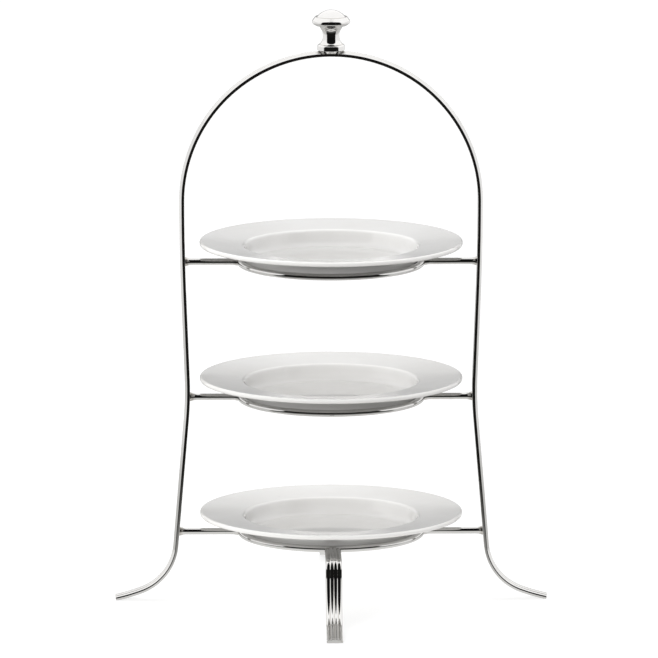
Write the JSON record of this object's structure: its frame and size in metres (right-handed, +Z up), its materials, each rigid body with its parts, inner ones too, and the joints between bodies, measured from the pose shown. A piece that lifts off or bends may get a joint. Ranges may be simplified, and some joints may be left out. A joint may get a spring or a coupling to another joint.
{
  "type": "tiered cake stand",
  "caption": "Tiered cake stand: an arched hoop of reeded metal strip with flared feet, rod rings that hold lift-out rimmed porcelain plates, and a turned finial on top.",
  "frame": {"origin": "on the table, under the vertical axis of the rings", "axes": "+Z up; +X to the right across the hoop; -Y is the front, where the plates are drawn out"},
  "size_m": [0.347, 0.347, 0.4776],
  "materials": {
    "silver_plate": "polished silver plate",
    "polished_casting": "polished, turned and plated",
    "glazed_porcelain": "gloss white glaze"
  },
  "bodies": {
    "frame": {"hoop": "silver_plate", "front_leg": "silver_plate", "rear_leg": "silver_plate", "bottom_ring": "silver_plate", "bottom_left_arm": "silver_plate", "bottom_right_arm": "silver_plate", "middle_ring": "silver_plate", "middle_left_arm": "silver_plate", "middle_right_arm": "silver_plate", "top_ring": "silver_plate", "top_left_arm": "silver_plate", "top_right_arm": "silver_plate", "finial_collar": "polished_casting", "finial_knob": "polished_casting", "finial_screw": "polished_casting"},
    "bottom_plate": {"bottom_plate": "glazed_porcelain"},
    "middle_plate": {"middle_plate": "glazed_porcelain"},
    "top_plate": {"top_plate": "glazed_porcelain"}
  },
  "joints": [
    {"name": "bottom_plate_lift", "type": "slide", "parent": "frame", "child": "bottom_plate", "axis": [0, 0, 1], "range_m": [0, 0.07]},
    {"name": "middle_plate_lift", "type": "slide", "parent": "frame", "child": "middle_plate", "axis": [0, 0, 1], "range_m": [0, 0.07]},
    {"name": "top_plate_lift", "type": "slide", "parent": "frame", "child": "top_plate", "axis": [0, 0, 1], "range_m": [0, 0.07]}
  ]
}
